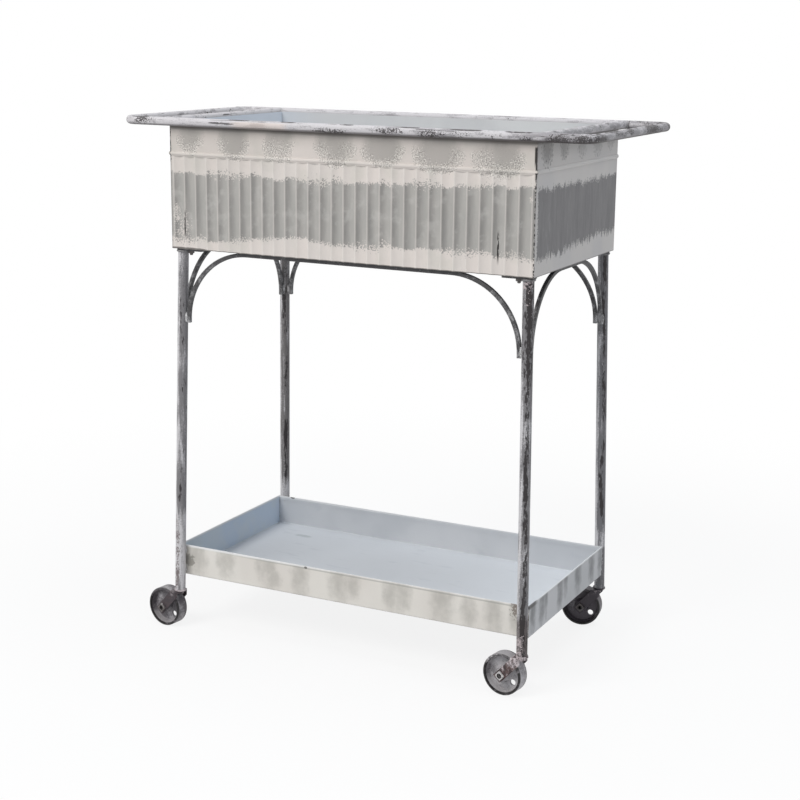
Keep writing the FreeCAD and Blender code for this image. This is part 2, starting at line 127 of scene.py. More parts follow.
class Level:
    """A value on a bench, which can be reckoned with like a number."""

    def __init__(self, bench, socket):
        self.bench = bench
        self.socket = socket

    def __add__(self, other):
        return self.bench.math("ADD", self, other)

    def __sub__(self, other):
        return self.bench.math("SUBTRACT", self, other)

    def __rsub__(self, other):
        return self.bench.math("SUBTRACT", other, self)

    def __mul__(self, other):
        return self.bench.math("MULTIPLY", self, other)

    def __truediv__(self, other):
        return self.bench.math("DIVIDE", self, other)

    def __abs__(self):
        return self.bench.math("ABSOLUTE", self)

    __radd__ = __add__
    __rmul__ = __mul__

    def fade(self, none, full):
        """0 where the level is none, 1 where it is full, and smooth between."""
        made = self.bench.node("ShaderNodeMapRange", interpolation_type="SMOOTHSTEP")
        return self.bench.wired(made, (self, none, full))

    def near(self, middle, none, full):
        """A fade by the distance from the middle."""
        return abs(self - middle).fade(none, full)

    def between(self, start, full, last, end):
        """1 from full to last, fading out towards start and end."""
        return self.fade(start, full) * self.fade(end, last)

    def scaled(self, low, high):
        """0 to 1 turned into low to high."""
        return self.bench.math("MULTIPLY_ADD", self, high - low, low)

    def inside(self, steepness):
        """How well a brushed patch covers this far inside its edge: half on the edge itself."""
        return self.bench.math("MULTIPLY_ADD", self, steepness, 0.5)


class Bench:
    """Lays out the nodes of one material or group."""

    def __init__(self, tree):
        self.tree = tree

    def node(self, kind, **settings):
        made = self.tree.nodes.new(kind)
        for name, value in settings.items():
            setattr(made, name, value)
        return made

    def feed(self, socket, value):
        """Joins a level to a socket, or sets a value on it. Three numbers are a screen colour."""
        if isinstance(value, Level):
            self.tree.links.new(value.socket, socket)
        elif socket.type == "RGBA" and len(value) == 3:
            socket.default_value = paint(*value)
        else:
            socket.default_value = value

    def wired(self, made, values, result=0):
        """Feeds the sockets of a node, in order or by name, and gives back what it puts out."""
        named = values if isinstance(values, dict) else dict(enumerate(values))
        for key, value in named.items():
            self.feed(made.inputs[key], value)
        return Level(self, made.outputs[result])

    def levels(self, sockets):
        return {socket.name: Level(self, socket) for socket in sockets}

    def math(self, job, *values):
        return self.wired(self.node("ShaderNodeMath", operation=job), values)

    def either(self, first, *others):
        for other in others:
            first = self.math("MAXIMUM", first, other)
        return first

    def both(self, first, *others):
        for other in others:
            first = self.math("MINIMUM", first, other)
        return first

    def reach(self, a, b):
        """The length of two lengths at a right angle."""
        return self.math("SQRT", a * a + b * b)

    def coat(self, share, under, over, strength=None):
        """The colour over laid on the colour under, by its share and strength."""
        share = share if strength is None else share * strength
        return self.wired(self.node("ShaderNodeMix", data_type="RGBA"), {0: share, 6: under, 7: over}, 2)

    def shade(self, colour, level):
        """A colour made darker or lighter by a level that is 1 for no change."""
        grey = self.wired(self.node("ShaderNodeCombineColor"), (level, level, level))
        made = self.node("ShaderNodeMix", data_type="RGBA", blend_type="MULTIPLY", clamp_factor=False)
        return self.wired(made, {0: 1.0, 6: colour, 7: grey}, 2)

    def split(self, vector):
        made = self.node("ShaderNodeSeparateXYZ")
        self.feed(made.inputs[0], vector)
        return [Level(self, socket) for socket in made.outputs]

    def join(self, x, y, z):
        return self.wired(self.node("ShaderNodeCombineXYZ"), (x, y, z))

    def stretch(self, vector, x, y, z):
        return self.wired(self.node("ShaderNodeVectorMath", operation="MULTIPLY"), (vector, (x, y, z)))

    def cloud(self, vector, scale=1.0, detail=3, rough=0.5, warp=0.0):
        """Soft noise from 0 to 1."""
        texture = {"Scale": scale, "Detail": detail, "Roughness": rough, "Distortion": warp}
        return self.wired(self.node("ShaderNodeTexNoise"), {"Vector": vector, **texture}, "Fac")

    def drift(self, *cloud, **texture):
        """A cloud that swings about zero."""
        return self.cloud(*cloud, **texture) - 0.5

    def patches(self, none, full, *cloud, **texture):
        """The thick places of a cloud."""
        return self.cloud(*cloud, **texture).fade(none, full)

    def chance(self, number):
        """A steady random level for each whole number."""
        made = self.node("ShaderNodeTexWhiteNoise", noise_dimensions="1D")
        return self.wired(made, {"W": number}, "Value")

    def group(self, group, **values):
        made = self.node("ShaderNodeGroup", node_tree=group)
        for name, value in values.items():
            self.feed(made.inputs[name.replace("_", " ")], value)
        return self.levels(made.outputs)

    def coordinates(self):
        made = self.levels(self.node("ShaderNodeTexCoord").outputs)
        return made["Object"], made["Normal"]


def fresh_bench(owner):
    """A bench on the emptied nodes of a material or world."""
    owner.use_nodes = True
    owner.node_tree.nodes.clear()
    return Bench(owner.node_tree)


def new_group(name, inputs, outputs):
    """An empty shader group: its bench, what it is given and where its results go."""
    tree = bpy.data.node_groups.new(name, "ShaderNodeTree")
    for in_out, sockets in (("INPUT", inputs), ("OUTPUT", outputs)):
        for label, kind in sockets:
            tree.interface.new_socket(name=label, in_out=in_out, socket_type=kind)
    bench = Bench(tree)
    given = bench.levels(bench.node("NodeGroupInput").outputs)
    return bench, given, bench.node("NodeGroupOutput").inputs


FLOAT, VECTOR, COLOUR = "NodeSocketFloat", "NodeSocketVector", "NodeSocketColor"
SURFACE = [("Color", COLOUR), ("Roughness", FLOAT), ("Height", FLOAT)]


def stippled_cover_group():
    """Paint dabbed on with a dry brush: solid where Cover is high, grainy where it is low."""
    sockets = [("Place", VECTOR), ("Cover", FLOAT), ("Grains", FLOAT), ("Spread", FLOAT)]
    b, given, result = new_group("stippled_cover", sockets, [("Mask", FLOAT)])
    grains = b.drift(given["Place"], given["Grains"], detail=2.5, rough=0.62)
    level = b.math("MULTIPLY_ADD", grains, given["Spread"], given["Cover"])
    b.feed(result["Mask"], level.fade(0.42, 0.58))
    return b.tree


def brushed_dab_group():
    """One dab of a round brush, laid over the dabs before it."""
    labels = ("Along", "Rise", "Middle", "Half Width", "Height", "Half Height", "Under")
    b, given, result = new_group("brushed_dab", [(label, FLOAT) for label in labels], [("Cover", FLOAT)])
    across = (given["Along"] - given["Middle"]) / given["Half Width"]
    down = (given["Rise"] - given["Height"]) / given["Half Height"]
    away = across * across + down * down
    b.feed(result["Cover"], b.either(1 - away, given["Under"]))
    return b.tree


def flaked_spots_group():
    """Spots where the paint has come off: Amount sets how many, Spots how fine they are."""
    sockets = [("Place", VECTOR), ("Spots", FLOAT), ("Amount", FLOAT)]
    b, given, result = new_group("flaked_spots", sockets, [("Mask", FLOAT)])
    fine = b.cloud(given["Place"], given["Spots"], detail=4, rough=0.68, warp=0.5)
    coarse = b.cloud(given["Place"], given["Spots"] * 0.16, detail=2)
    level = fine * 0.66 + coarse * 0.34
    limit = b.math("MULTIPLY_ADD", given["Amount"], -0.32, 0.72)
    b.feed(result["Mask"], (level - limit).fade(-0.012, 0.02))
    return b.tree


def old_paint_group():
    """Uneven brushed paint: a slow change of tone and a fine tooth, with roughness and height to match."""
    sockets = [("Place", VECTOR), ("Tone", COLOUR), ("Depth", FLOAT)]
    b, given, result = new_group("old_paint", sockets, SURFACE)
    slow = b.drift(given["Place"], 14)
    tooth = b.drift(given["Place"], 420, detail=2, rough=0.6)
    level = slow * given["Depth"] + tooth * given["Depth"] * 0.45 + 1
    b.feed(result["Color"], b.shade(given["Tone"], level))
    b.feed(result["Roughness"], b.math("MULTIPLY_ADD", slow, 0.25, 0.62))
    b.feed(result["Height"], tooth * 0.6 + slow * 0.4)
    return b.tree


def whitewashed_iron_group(spots):
    """Iron whitewashed and rubbed back: streaks of wash, iron between them, and dark scars on top."""
    sockets = [("Place", VECTOR), ("Streaked", VECTOR), ("Wash", COLOUR), ("Iron", COLOUR), ("Scar", COLOUR),
               ("Wash Cover", FLOAT), ("Scar Cover", FLOAT)]
    b, given, result = new_group("whitewashed_iron", sockets, SURFACE)
    streak = b.drift(given["Streaked"], detail=4, rough=0.62)
    tooth = b.cloud(given["Place"], 620, detail=2, rough=0.6)
    uneven = tooth - 0.5
    wash = (given["Wash Cover"] + streak * 2.1 + uneven * 0.9).fade(0.22, 0.78)
    scar_streak = b.cloud(b.stretch(given["Streaked"], 1.7, 1.7, 1.3), rough=0.6)
    flaked = b.group(spots, Place=given["Place"], Spots=330, Amount=given["Scar Cover"])["Mask"]
    deep = given["Scar Cover"] + (scar_streak - 0.62) * 2.2 + uneven * 1.1
    scar = b.either(deep.fade(0.3, 0.52), flaked)
    colour = b.coat(wash, given["Iron"], given["Wash"])
    colour = b.coat(scar, colour, given["Scar"])
    b.feed(result["Color"], b.shade(colour, tooth.scaled(0.88, 1.12)))
    b.feed(result["Roughness"], b.math("MULTIPLY_ADD", wash, 0.22, 0.48))
    b.feed(result["Height"], wash * 0.5 + tooth * 0.35 - scar * 0.5)
    return b.tree


def caster_place_group():
    """Where a point is on its own caster: from the axle, along it, along the fork and up."""
    measures = ("Radius", "Side", "Ahead", "Rise")
    b, given, result = new_group("caster_place", [("Place", VECTOR)], [(label, FLOAT) for label in measures])
    x, y, z = b.split(given["Place"])
    cos, sin = math.cos(CASTER_TURN), math.sin(CASTER_TURN)
    from_x = x - b.math("SIGN", x) * LEG_FOOT.x + CASTER_TRAIL * cos
    from_y = abs(y) - (LEG_FOOT.y - CASTER_TRAIL * sin)
    ahead = from_x * cos + from_y * sin
    side = from_y * cos - from_x * sin
    rise = z - AXLE_Z
    for label, value in zip(measures, (b.reach(ahead, rise), side, ahead, rise)):
        b.feed(result[label], value)
    return b.tree


STIPPLED_COVER = stippled_cover_group()
BRUSHED_DAB = brushed_dab_group()
FLAKED_SPOTS = flaked_spots_group()
OLD_PAINT = old_paint_group()
WHITEWASHED_IRON = whitewashed_iron_group(FLAKED_SPOTS)
CASTER_PLACE = caster_place_group()

CREAM = (214, 206, 200)
CREAM_GREY = (208, 202, 197)
# The band grey on the shaded side and on the lit side of a flute: painted shade and painted light.
BAND_SHADED = (136, 134, 131)
BAND_LIT = (165, 163, 159)
DAB_GREY = (146, 143, 139)
CHIP_BLACK = (44, 41, 40)
# The pale blue-grey inside the trough's end panels, made lighter than its paint: painted light.
INSIDE_BLUE = (216, 222, 230)
UNDERSIDE = (92, 92, 93)

# How deep the relief of each kind of surface is.
PAINT_RELIEF = 0.0002
IRON_RELIEF = 0.0003
WELD_RELIEF = 0.0004
BRASS_RELIEF = 0.0001
RELIEF_STRENGTH = 0.5


def new_finish(name, gloss=0.3):
    """A new painted material: its bench, and the place and the way it faces at each point."""
    material = bpy.data.materials.new(name)
    b = fresh_bench(material)
    b.material = material
    b.shader = b.node("ShaderNodeBsdfPrincipled")
    lit = b.wired(b.shader, {"Specular IOR Level": gloss})
    b.feed(b.node("ShaderNodeOutputMaterial").inputs["Surface"], lit)
    return b, *b.coordinates()


def finish_surface(b, colour, roughness, height, depth):
    """Joins a colour, roughness and relief to the shader and hands over the material."""
    relief = {"Strength": RELIEF_STRENGTH, "Distance": depth, "Height": height}
    bumpy = b.wired(b.node("ShaderNodeBump"), relief)
    b.wired(b.shader, {"Base Color": colour, "Roughness": roughness, "Normal": bumpy})
    return b.material


def finish_paint(b, place, tone, unevenness, *marks):
    """Old paint of a tone, with marks that stand proud of it or are cut into it."""
    coat = b.group(OLD_PAINT, Place=place, Tone=tone, Depth=unevenness)
    height = sum(marks, coat["Height"])
    return finish_surface(b, coat["Color"], coat["Roughness"], height, PAINT_RELIEF)


def washed_iron(b, place, streaks, wash, iron, scar, wash_cover, scar_cover):
    """Whitewash in streaks over iron: their fineness each way, three colours and two amounts."""
    return b.group(WHITEWASHED_IRON, Place=place, Streaked=b.stretch(place, *streaks), Wash=wash, Iron=iron,
                   Scar=scar, Wash_Cover=wash_cover, Scar_Cover=scar_cover)


def stipple(b, place, cover, grains, spread):
    return b.group(STIPPLED_COVER, Place=place, Cover=cover, Grains=grains, Spread=spread)["Mask"]


def flakes(b, place, spots, amount):
    return b.group(FLAKED_SPOTS, Place=place, Spots=spots, Amount=amount)["Mask"]


def dab_cover(b, along, rise, dabs):
    """How thickly the dabs lie: 1 in the middle of a dab, 0 at its edge and less beyond it."""
    cover = NO_DAB
    for dab in dabs:
        middle, half_width, height, half_height = (size / MILLIMETRES for size in dab)
        cover = b.group(BRUSHED_DAB, Along=along, Rise=rise, Under=cover, Middle=middle, Height=height,
                        Half_Width=half_width, Half_Height=half_height)["Cover"]
    return cover


def dry_smear(b, place, cover, edge_share):
    """Dabs laid with little paint: a soft smear, with loose grains and pale bare ones at its edge."""
    fineness, spread = 540, 3.6
    smear = cover.fade(-0.8, 1)
    edge = cover.between(-1.5, -0.4, 0.4, 1.7)
    loose = (edge * edge_share).scaled(-0.7, 0.27)
    return smear, stipple(b, place, loose, fineness, spread), stipple(b, place, loose, fineness, -spread)


def bead_line(z):
    """The bead that runs round the trough."""
    return z.near(BEAD_Z + 0.0005, 0.0026, 0.0008)


def painted_rod_shadow(b, tone, z):
    """Painted shade below the rim rod: a dark line of painted shadow where the rod meets the panel, and grey
    painted shade from the bead up that deepens towards the rod.
    """
    rod_shade = z.fade(BEAD_Z + 0.001, BEAD_Z + 0.007) * 0.1 + z.fade(ROD_BOTTOM - 0.03, ROD_BOTTOM) * 0.28
    tone = b.coat(rod_shade, tone, (140, 135, 130))
    return b.coat(z.fade(ROD_BOTTOM - 0.0065, ROD_BOTTOM - 0.0015), tone, (70, 65, 61), 0.72)


def corner_chips(b, place, edge, z, amount):
    """Black chips along an upright edge, ragged near the top and dotted further down."""
    broken = b.cloud(b.stretch(place, 260, 260, 200), rough=0.7)
    wanted = z.between(0.725, 0.745, 0.78, 0.784).scaled(0.47, 0.66)
    return edge * (wanted + amount - broken).fade(0, 0.06)


def corner_shares(x, y):
    """How far a place is right, back, front right and front left: 0 or 1."""
    right = x.fade(*ACROSS_MIDDLE)
    back = y.fade(*ACROSS_MIDDLE)
    front = 1 - back
    return right, back, right * front, (1 - right) * front


def caster_shade_share(b, x, y):
    """How much painted shade a caster gets: 1 on the back right one, about half on the front left one, 0
    elsewhere.
    """
    right, back, _, front_left = corner_shares(x, y)
    return b.either(right * back, front_left * 0.55)


def fluted_panel_paint():
    """The long panels: cream, a grey band over the flutes, grey dabs above the bead, chipped edges."""
    b, place, normal = new_finish("fluted_panel_paint")
    x, y, z = b.split(place)
    outside = (b.split(normal)[1] * y).fade(-0.02, 0.02)
    side = b.math("SIGN", y)
    along = x * side * -1

    step = (along + FLUTE_START) * (1 / FLUTE_PITCH)
    across = b.math("FRACT", step)
    number = b.math("FLOOR", step) + side * SIDES_APART
    ridge = across.near(0.5, 0.4, 0.49)
    fluted = z.fade(FLUTE_TOP + 0.002, FLUTE_TOP - 0.001)

    tone = b.coat(b.chance(number) * fluted, CREAM, CREAM_GREY, 0.7)
    # A paler line on each ridge of the flutes: worn paint together with a painted highlight.
    tone = b.coat(fluted * ridge, tone, (232, 228, 222), 0.3)
    tone = b.coat(b.patches(0.46, 0.68, place, 30), tone, (192, 190, 181), 0.35)
    dull = along.fade(-0.08, -0.2) * z.fade(0.7, 0.73)
    tone = b.coat(dull, tone, (168, 164, 157), 0.16)

    # The band: its edges step from flute to flute, and it thins out where the brush ran dry.
    wander = b.drift(place, 22)
    uneven = b.chance(number + 0.37) - 0.5
    uneven_low = b.chance(number + 0.71) - 0.5
    top = along.fade(-0.02, 0.28).scaled(0.7185, 0.725) + wander * 0.009 + uneven * 0.006
    low = along.fade(-0.25, -0.07).scaled(0.6205, 0.632) - wander * 0.006 + uneven_low * 0.006
    band_cover = b.both((top - z).inside(60), (z - low).inside(60))
    strokes = b.join(along, side, z.fade(0.66, 0.68) * 3)
    dry = b.patches(0.44, 0.6, strokes, 13, detail=1)
    band = stipple(b, place, band_cover, 410, dry.scaled(0.9, 3.3))
    worn_through = dab_cover(b, along, z, RUBBED_DABS) * 0.6 + wander
    rubbed = stipple(b, place, worn_through, 430, 3.8)
    drawn = b.cloud(b.stretch(place, 75, 75, 16), detail=4, rough=0.6)
    band = b.both(band * rubbed.scaled(1, 0.2) * drawn.scaled(0.66, 1.22), 1)
    # Painted shade and light across each flute: darker on its left side, lighter towards its right.
    band_tone = b.coat(across.fade(0.02, 0.75), BAND_SHADED, BAND_LIT)
    pale = b.patches(0.5, 0.72, place, 46, detail=4, rough=0.6)
    band_tone = b.coat(pale, band_tone, (186, 184, 180), 0.45)
    band_tone = b.coat(ridge, band_tone, CREAM_GREY, 0.55)
    tone = b.coat(band * fluted, tone, band_tone)

    streaks = b.drift(b.stretch(place, 120, 120, 30), rough=0.6)
    dabs = dab_cover(b, along, z, LONG_DABS) + wander * 2.2 + streaks
    smear, grains, bare = dry_smear(b, place, dabs, z.fade(0.785, 0.765).scaled(0.4, 1))
    above = z.fade(0.724, 0.744)
    dab = smear * above
    thick = b.patches(0.4, 0.6, b.join(along, side, 0), 17, detail=1)
    tone = b.coat(dab, tone, DAB_GREY, thick.scaled(0.6, 0.7))
    tone = b.coat(grains * above, tone, (120, 117, 112), 0.72)
    tone = b.coat(bare * above, tone, (232, 229, 222), 0.75)
    bead = bead_line(z)
    # A painted highlight along the top of the bead.
    tone = b.coat(bead, tone, (230, 225, 217), 0.15)
    tone = painted_rod_shadow(b, tone, z)
    specks = flakes(b, place, 520, dab.scaled(0.02, 0.16))
    tone = b.coat(specks, tone, (104, 100, 96), 0.6)

    # Chips on two worn ridges and at the ends, a grey line down the left end, and a black line along the
    # bottom edge.
    worn = b.either(*[along.near(ridge_at, 0.0019, 0.0008) for ridge_at in WORN_RIDGES])
    flaking = b.patches(0.43, 0.5, b.stretch(place, 300, 300, 90), rough=0.7)
    ridge_chips = worn * z.between(0.616, 0.634, 0.656, 0.668) * flaking
    edge = abs(x).fade(HALF_LENGTH - 0.0022, HALF_LENGTH - 0.0012)
    tone = b.coat(edge * along.fade(0, -0.1), tone, (110, 105, 101), 0.45)
    wide = (abs(x).fade(HALF_LENGTH - 0.0038, HALF_LENGTH - 0.0026) * z.fade(0.75, 0.762)
            * along.fade(0.1, 0.2))
    below_rod = b.either(along.fade(0.2, 0.1), z.fade(0.782, 0.778))
    edge = b.either(edge, wide) * (1 - bead) * below_rod
    bared = (along - 0.29) * 0.45 + along.fade(-0.2, -0.28) * 0.16 + along.fade(0.2, 0.28) * 0.07
    above_edge = z - along.fade(-0.22, -0.25) * 0.0016
    bottom = above_edge.fade(FLOOR_Z + 0.0016, FLOOR_Z + 0.0006) * 0.75
    chips = b.either(ridge_chips, corner_chips(b, place, edge, z, bared), bottom)
    tone = b.coat(chips, tone, CHIP_BLACK)

    inner = b.coat(b.patches(0.42, 0.66, place, 9), (203, 203, 203), (212, 212, 211))
    inner = b.coat(x.fade(-0.2, -0.29), inner, (190, 201, 214), 0.35)
    tone = b.coat(outside, inner, tone)
    return finish_paint(b, place, tone, 0.1, band * 0.8, chips * -1.5)


def end_panel_paint():
    """The end panels: the same cream and grey on smooth sheet, with the brush drawn up and down."""
    b, place, normal = new_finish("end_panel_paint")
    x, y, z = b.split(place)
    outside = (b.split(normal)[0] * x).fade(-0.02, 0.02)
    along = y * b.math("SIGN", x)

    tufts = b.drift(b.stretch(place, 1, 62, 12), detail=6, rough=0.8)
    spikes = b.drift(b.stretch(place, 1, 270, 14), rough=0.7)
    wander = b.drift(place, 16, detail=2)
    top = 0.721 + tufts * 0.018 + spikes * 0.024 + wander * 0.01
    low = along.fade(-0.15, 0.02).scaled(0.627, 0.6355) + tufts * 0.016 + spikes * 0.046 + wander * 0.014
    from_corner = along + 0.1535 + wander * 0.012
    cover = b.both((top - z).inside(90), (z - low).inside(130), from_corner.inside(150))
    band = stipple(b, place, cover, 380, 2.2)
    tone = b.coat(b.patches(0.4, 0.7, place, 11, detail=2), (210, 206, 203), (203, 200, 199))
    brushed = b.patches(0.34, 0.68, b.stretch(place, 1, 74, 11), detail=6, rough=0.78)
    band_tone = b.coat(brushed, (127, 125, 126), (140, 138, 138))
    scratch = b.patches(0.58, 0.7, b.stretch(place, 1, 340, 26), rough=0.6)
    scratched = along.fade(-0.06, -0.13).scaled(0.1, 0.45)
    band_tone = b.coat(scratch, band_tone, (190, 190, 190), scratched)
    tone = b.coat(band, tone, band_tone)

    dabs = dab_cover(b, along, z, END_DABS) + spikes * 1.2 + wander * 1.2
    smear, grains, bare = dry_smear(b, b.stretch(place, 1, 0.5, 0.35), dabs, 1)
    to_front = along.fade(0, -0.12).scaled(0.45, 0.85)
    tone = b.coat(smear * to_front, tone, (128, 126, 126), 0.8)
    tone = b.coat(grains * to_front, tone, (100, 98, 98), 0.85)
    tone = b.coat(bare, tone, (226, 223, 220), 0.35)
    bead = bead_line(z)
    # A painted highlight along the top of the bead.
    tone = b.coat(bead, tone, (226, 223, 219), 0.2)
    tone = painted_rod_shadow(b, tone, z)

    edge = abs(y).fade(HALF_DEPTH - 0.0032, HALF_DEPTH - 0.001) * (1 - bead)
    bared = (along + 0.16) * -0.8
    bottom = z.fade(FLOOR_Z + 0.0014, FLOOR_Z + 0.0005) * 0.6
    chips = b.either(corner_chips(b, place, edge, z, bared), bottom)
    tone = b.coat(chips, tone, CHIP_BLACK)
    # Inside: the blue-grey with painted light.
    tone = b.coat(outside, INSIDE_BLUE, tone)
    return finish_paint(b, place, tone, 0.09, band * 0.8, chips * -1.5)


def trough_floor_paint():
    """The trough's floor: pale inside, bare grey with rust marks underneath."""
    b, place, normal = new_finish("trough_floor_paint")
    up = b.split(normal)[2].fade(-0.2, 0.2)
    under = b.coat(flakes(b, place, 60, 0.12), UNDERSIDE, (84, 62, 48), 0.5)
    return finish_paint(b, place, b.coat(up, under, (200, 206, 213)), 0.12)


def tray_paint():
    """The lower tray: pale blue-grey inside, cream with soft dabs outside and painted shade on the end
    walls, a worn bright hem with a painted shadow line under it.
    """
    b, place, normal = new_finish("tray_paint")
    x, y, z = b.split(place)
    nx, ny, nz = b.split(normal)
    outside = (nx * x + ny * y).fade(0, 0.03)
    at_end = abs(nx).fade(0.45, 0.55)
    on_side = 1 - at_end
    drawn = b.drift(b.stretch(place, 170, 170, 22), rough=0.6)
    wander = b.drift(place, 60, detail=4, rough=0.65)
    long_cover = dab_cover(b, x * b.math("SIGN", y) * -1, z, TRAY_LONG_DABS)
    end_cover = dab_cover(b, y * b.math("SIGN", x), z, TRAY_END_DABS)
    cover = (long_cover * on_side + end_cover * at_end + wander * 3.6 + drawn * at_end.scaled(0.9, 1.6)
             + (z - TRAY_WALL_Z) * 14)
    dab, grains, bare = dry_smear(b, place, cover * 0.55, 0.6)
    mottled = b.patches(0.4, 0.7, place, 12, detail=2)
    warm = b.coat(mottled, (222, 218, 211), (216, 211, 204))
    # The end walls get a darker, bluer copy of the cream, and of the dab grey below: painted shade.
    end_wall_shade = b.coat(mottled, (200, 200, 202), (191, 192, 194))
    wall = b.coat(at_end, warm, end_wall_shade)
    dab_tone = b.coat(at_end, (148, 145, 138), (118, 118, 120))
    wall = b.coat(b.either(dab, grains * 0.6), wall, dab_tone, at_end.scaled(0.52, 0.8))
    wall = b.coat(bare, wall, (228, 226, 222), 0.2)

    inner = b.coat(b.patches(0.4, 0.66, place, 7), (199, 202, 206), (208, 210, 213))
    rubbed = b.patches(0.6, 0.74, b.stretch(place, 20, 60, 30))
    inner = b.coat(rubbed, inner, (180, 186, 192), 0.25)
    # The floor is painted paler than the inside walls: painted light on the upward face.
    floor = b.coat(rubbed, (219, 223, 228), (206, 211, 217), 0.5)
    smudge = (dab_cover(b, x, y, TRAY_FLOOR_DABS) + wander * 2).fade(-0.2, 0.9)
    floor = b.coat(smudge, floor, (176, 184, 186), 0.6)
    inner = b.coat(nz.fade(0.4, 0.9), inner, floor)
    shaded = b.coat(b.patches(0.42, 0.6, place, 16), (203, 217, 233), (208, 219, 230))
    shaded = b.coat(y.fade(0, -0.14), shaded, (206, 215, 219), 0.6)
    inner = b.coat(nx.fade(0.5, 0.9) * x.fade(0, -0.1), inner, shaded)
    tone = b.coat(outside, inner, wall)
    under = nz.fade(-0.3, -0.6) * z.fade(TRAY_FLOOR_Z, TRAY_FLOOR_Z - 0.0004)
    tone = b.coat(under, tone, (150, 151, 152))

    # The hem: rubbed bright, most of all to the left, with a painted shadow line under it and a few dark
    # nicks.
    left = x.fade(0.05, -0.15)
    hem = z.fade(left.scaled(TRAY_TOP_Z - 0.0022, TRAY_TOP_Z - 0.004), TRAY_TOP_Z - 0.001)
    hem_shadow = z.near(TRAY_TOP_Z - 0.0034, 0.0016, 0.0006)
    hem_shadow = hem_shadow * outside * on_side * x.fade(-0.24, -0.12)
    tone = b.coat(hem_shadow, tone, (150, 148, 144), 0.5)
    tone = b.coat(hem, tone, (236, 237, 237), left.scaled(0.45, 0.85))
    front_nick = dab_cover(b, x, z, TRAY_NICKS).fade(0, 0.5) * outside * y.fade(0, -0.01)
    back_nick = dab_cover(b, x, z, TRAY_BACK_NICKS).fade(0, 0.5) * y.fade(0.13, 0.14)
    corner = (x.fade(0.284, 0.294) * y.fade(-0.116, -0.132)
              * b.patches(0.28, 0.4, place, 210, rough=0.7)
              * z.fade(TRAY_TOP_Z - 0.007, TRAY_TOP_Z - 0.003))
    tone = b.coat(b.either(front_nick, corner, back_nick), tone, (88, 86, 85), 0.85)

    # Scorched paint beside the welds on the legs.
    to_right = x.fade(*ACROSS_MIDDLE)
    scorched = z.fade(0.104, 0.124) * to_right + z.between(0.094, 0.106, 0.116, 0.128) * (1 - to_right)
    scorched = scorched * abs(x).near(SCORCH_X, 0.02, 0.007) * outside * on_side
    scorch = stipple(b, place, scorched * 0.7, 340, to_right.scaled(1.2, 3))
    scorch_tone = b.coat(to_right, (122, 119, 112), (104, 90, 82))
    tone = b.coat(scorch * scorched.fade(0.02, 0.3), tone, scorch_tone, 0.7)
    return finish_paint(b, place, tone, 0.07, dab * 0.6)


def rim_paint(name, lengthwise):
    """Rim rods and handles: chalky wash, black where it flaked, dark scratches along the bar, and painted
    shade on the undersides.
    """
    b, place, normal = new_finish(name, gloss=0.35)
    x, y, z = b.split(place)
    nz = b.split(normal)[2]
    at_front = y.fade(-0.13, -0.15)
    on_handle = x.fade(0.296, 0.312)
    at_grip = x.fade(0.345, 0.36)
    patchy = b.patches(0.5, 0.64, b.stretch(place, 16, 26, 26), detail=2)
    bare = x.fade(0.2, 0.3) * 0.24 + on_handle * 0.14
    streaks = (38, 240, 240) if lengthwise else (110, 60, 220)
    iron = washed_iron(b, place, streaks, (198, 195, 197), (148, 145, 148), (78, 72, 73),
                       patchy.scaled(0.82, 0.52) - bare, patchy.scaled(0.02, 0.1) + bare * 0.5)

    front = b.either(dab_cover(b, x, z, FRONT_ROD_DABS), dab_cover(b, x, z, THIN_ROD_DABS) - 0.55)
    front = b.both(front, at_front.scaled(-4, 4))
    grip = b.both(dab_cover(b, y, z, GRIP_DABS), at_grip.scaled(-4, 4))
    elsewhere = (b.cloud(b.stretch(place, 13, 21, 60), detail=2) - 0.57) * 7
    elsewhere = elsewhere - at_front * 9 - y.fade(0.15, 0.16) * 0.7
    uneven = b.drift(place, 150) * on_handle.scaled(2.4, 1.5)
    flaked = b.either(front, grip, elsewhere) + uneven + bare * 0.9
    specks = stipple(b, place, flaked * 0.7, on_handle.scaled(450, 620), 3.2)
    colour = b.coat(specks, iron["Color"], (50, 45, 45), 0.88)

    run = (15, 340, 340) if lengthwise else (60, 30, 340)
    fine_scratch = b.patches(0.64, 0.69, b.stretch(place, *run), detail=2) * nz.fade(0.1, 0.45)
    on_rod = dab_cover(b, x, nz, ROD_SCRATCHES).fade(0, 0.4) * at_front
    on_grip = dab_cover(b, y, nz, GRIP_SCRATCHES).fade(0, 0.4) * at_grip
    ragged = b.patches(0.36, 0.46, b.stretch(place, 120, 400, 400), rough=0.7)
    scratch = b.either(fine_scratch, b.either(on_rod, on_grip) * ragged)
    colour = b.coat(scratch, colour, (48, 44, 44), 0.85)
    primer = x.between(-0.185, -0.165, -0.095, -0.08) * at_front * nz.fade(0.75, 0.45)
    colour = b.coat(primer, colour, (214, 198, 188), 0.5)
    # Painted shade: the undersides of the bars are darkened, more so towards the right.
    underside_shade = x.fade(0.05, 0.3).scaled(0.66, 0.88)
    colour = b.coat(nz.fade(-0.36, -0.8), colour, (66, 61, 60), underside_shade)
    seam = x.near(HANDLE_SEAM_X, 0.0013, 0.0005) * y.fade(0, 0.01)
    colour = b.coat(seam, colour, (60, 56, 56), 0.8)
    height = iron["Height"] - specks * 0.6
    return finish_surface(b, colour, iron["Roughness"], height, IRON_RELIEF)


